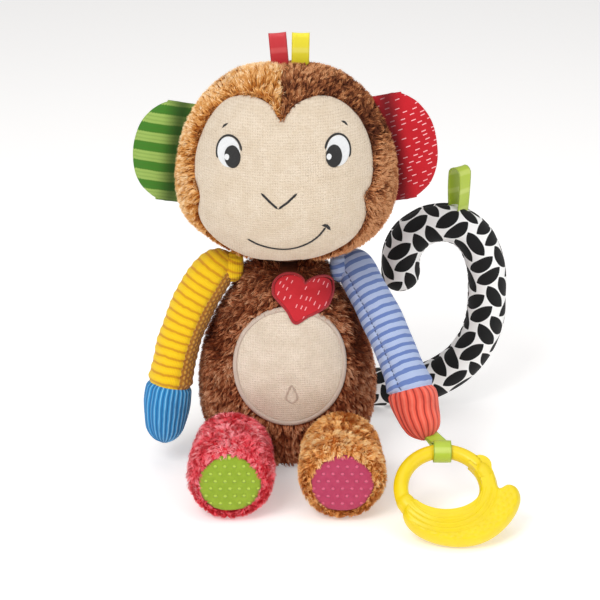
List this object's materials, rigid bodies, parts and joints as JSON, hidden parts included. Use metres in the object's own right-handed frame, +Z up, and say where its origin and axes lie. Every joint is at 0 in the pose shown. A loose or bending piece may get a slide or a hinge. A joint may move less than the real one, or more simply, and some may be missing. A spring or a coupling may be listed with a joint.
{
  "type": "seated plush activity monkey",
  "caption": "Seated soft monkey toy with coloured fabric limbs, fold-over ears, curled tail, ribbon loops and a ring teether held on one hand.",
  "frame": {"origin": "middle of the flat seat under the torso, on the surface the toy sits on", "axes": "+Z up, the face looks towards -Y, +X towards the striped sleeve, which is the toy's own left"},
  "size_m": [0.2497, 0.2216, 0.2824],
  "materials": {
    "plush_brown": "soft pile",
    "plush_caramel": "soft pile",
    "plush_pink": "soft pile",
    "velour_cream": "short pile",
    "thread_cream": "satin stitch",
    "cotton_red_dashed": "printed woven cotton",
    "cotton_red_plain": "printed woven cotton",
    "thread_red": "satin stitch",
    "thread_black": "satin stitch",
    "thread_white": "satin stitch",
    "ribbon_red": "satin ribbon",
    "ribbon_yellow": "satin ribbon",
    "ribbon_lime": "satin ribbon",
    "cotton_green_striped": "printed woven cotton",
    "cotton_green_plain": "printed woven cotton",
    "corduroy_yellow": "ribbed",
    "minky_mustard": "dotted short pile",
    "corduroy_blue": "ribbed",
    "jersey_blue_striped": "striped knit",
    "corduroy_coral": "ribbed",
    "dotted_green": "raised dots",
    "dotted_magenta": "raised dots",
    "cotton_leaf_print": "printed woven cotton",
    "teether_yellow": "satin smooth",
    "stuffing_white": "loose fibre",
    "rattle_plastic": "plain"
  },
  "bodies": {
    "torso": {"torso_front_panel": "plush_brown", "torso_back_panel": "plush_brown", "seat_panel": "plush_brown", "belly_patch": "velour_cream", "belly_rim_stitch": "thread_cream", "navel_stitch": "thread_cream", "heart_patch": "cotton_red_dashed", "heart_stitch_border": "thread_red", "torso_stuffing": "stuffing_white", "rattle_shell_upper": "rattle_plastic", "rattle_shell_lower": "rattle_plastic", "rattle_beads": "rattle_plastic"},
    "neck": {"neck_plug": "stuffing_white"},
    "head": {"head_back_panel": "plush_brown", "head_right_panel": "plush_brown", "head_left_panel": "plush_caramel", "face_panel": "velour_cream", "head_stuffing": "stuffing_white", "eye_white_left": "thread_white", "eye_white_right": "thread_white", "pupils": "thread_black", "eye_glints": "thread_white", "lash_lines": "thread_black", "brow_stitches": "thread_black", "nose_stitch": "thread_black", "mouth_stitch": "thread_black", "crown_loop_red": "ribbon_red", "crown_loop_yellow": "ribbon_yellow"},
    "green_ear": {"green_ear_front": "cotton_green_striped", "green_ear_back": "cotton_green_plain", "green_ear_padding": "stuffing_white"},
    "red_ear": {"red_ear_front": "cotton_red_dashed", "red_ear_back": "cotton_red_plain", "red_ear_padding": "stuffing_white"},
    "yellow_shoulder": {"yellow_shoulder_gather": "corduroy_yellow"},
    "yellow_arm": {"yellow_sleeve": "corduroy_yellow", "mustard_sleeve_panel": "minky_mustard", "blue_mitten": "corduroy_blue", "yellow_arm_stuffing": "stuffing_white"},
    "striped_shoulder": {"striped_shoulder_gather": "jersey_blue_striped"},
    "striped_arm": {"striped_sleeve": "jersey_blue_striped", "striped_sleeve_panel": "jersey_blue_striped", "coral_mitten": "corduroy_coral", "striped_arm_stuffing": "stuffing_white"},
    "pink_leg": {"pink_leg_cover": "plush_pink", "green_sole": "dotted_green", "pink_leg_stuffing": "stuffing_white"},
    "caramel_leg": {"caramel_leg_cover": "plush_caramel", "magenta_sole": "dotted_magenta", "caramel_leg_stuffing": "stuffing_white"},
    "tail": {"tail_front_panel": "cotton_leaf_print", "tail_back_panel": "cotton_leaf_print", "tail_stuffing": "stuffing_white", "tail_loop": "ribbon_lime"},
    "hand_loop": {"hand_loop": "ribbon_lime"},
    "teether": {"teether_ring": "teether_yellow", "teether_banana": "teether_yellow"}
  },
  "joints": [
    {"name": "neck_turn", "type": "hinge", "parent": "torso", "child": "neck", "pos_m": [0, 0, 0.146], "axis": [0, 0, 1], "range_deg": [-35, 35]},
    {"name": "head_nod", "type": "hinge", "parent": "neck", "child": "head", "pos_m": [0, 0, 0.146], "axis": [1, 0, 0], "range_deg": [-12, 12]},
    {"name": "yellow_arm_swing", "type": "hinge", "parent": "torso", "child": "yellow_shoulder", "pos_m": [-0.044, -0.002, 0.129], "axis": [1, 0, 0], "range_deg": [-95, 40]},
    {"name": "yellow_arm_raise", "type": "hinge", "parent": "yellow_shoulder", "child": "yellow_arm", "pos_m": [-0.044, -0.002, 0.129], "axis": [0, 1, 0], "range_deg": [0, 70]},
    {"name": "striped_arm_swing", "type": "hinge", "parent": "torso", "child": "striped_shoulder", "pos_m": [0.044, -0.002, 0.129], "axis": [1, 0, 0], "range_deg": [-60, 30]},
    {"name": "striped_arm_raise", "type": "hinge", "parent": "striped_shoulder", "child": "striped_arm", "pos_m": [0.044, -0.002, 0.129], "axis": [0, -1, 0], "range_deg": [0, 70]},
    {"name": "pink_leg_lift", "type": "hinge", "parent": "torso", "child": "pink_leg", "pos_m": [-0.0345, -0.064, 0.0263], "axis": [1, 0, 0], "range_deg": [-60, 25]},
    {"name": "caramel_leg_lift", "type": "hinge", "parent": "torso", "child": "caramel_leg", "pos_m": [0.0345, -0.064, 0.0263], "axis": [1, 0, 0], "range_deg": [-60, 25]},
    {"name": "green_ear_fold", "type": "hinge", "parent": "head", "child": "green_ear", "pos_m": [-0.069, 0.0037, 0.20356], "axis": [0.1372, 0.172, 0.9755], "range_deg": [-40, 40]},
    {"name": "red_ear_fold", "type": "hinge", "parent": "head", "child": "red_ear", "pos_m": [0.0675, 0.00423, 0.20652], "axis": [-0.1574, 0.1715, 0.9725], "range_deg": [-40, 40]},
    {"name": "tail_swing", "type": "hinge", "parent": "torso", "child": "tail", "pos_m": [0.012, 0.0635, 0.014], "axis": [0, 0, 1], "range_deg": [-12, 60]},
    {"name": "hand_loop_swing", "type": "hinge", "parent": "striped_arm", "child": "hand_loop", "pos_m": [0.095, -0.0745, 0.0395], "axis": [1, 0, 0], "range_deg": [-25, 25]},
    {"name": "teether_slide_round", "type": "hinge", "parent": "hand_loop", "child": "teether", "pos_m": [0.0969, -0.1096, 0.0247], "axis": [0, -0.5299, 0.848], "range_deg": [-40, 25]}
  ]
}
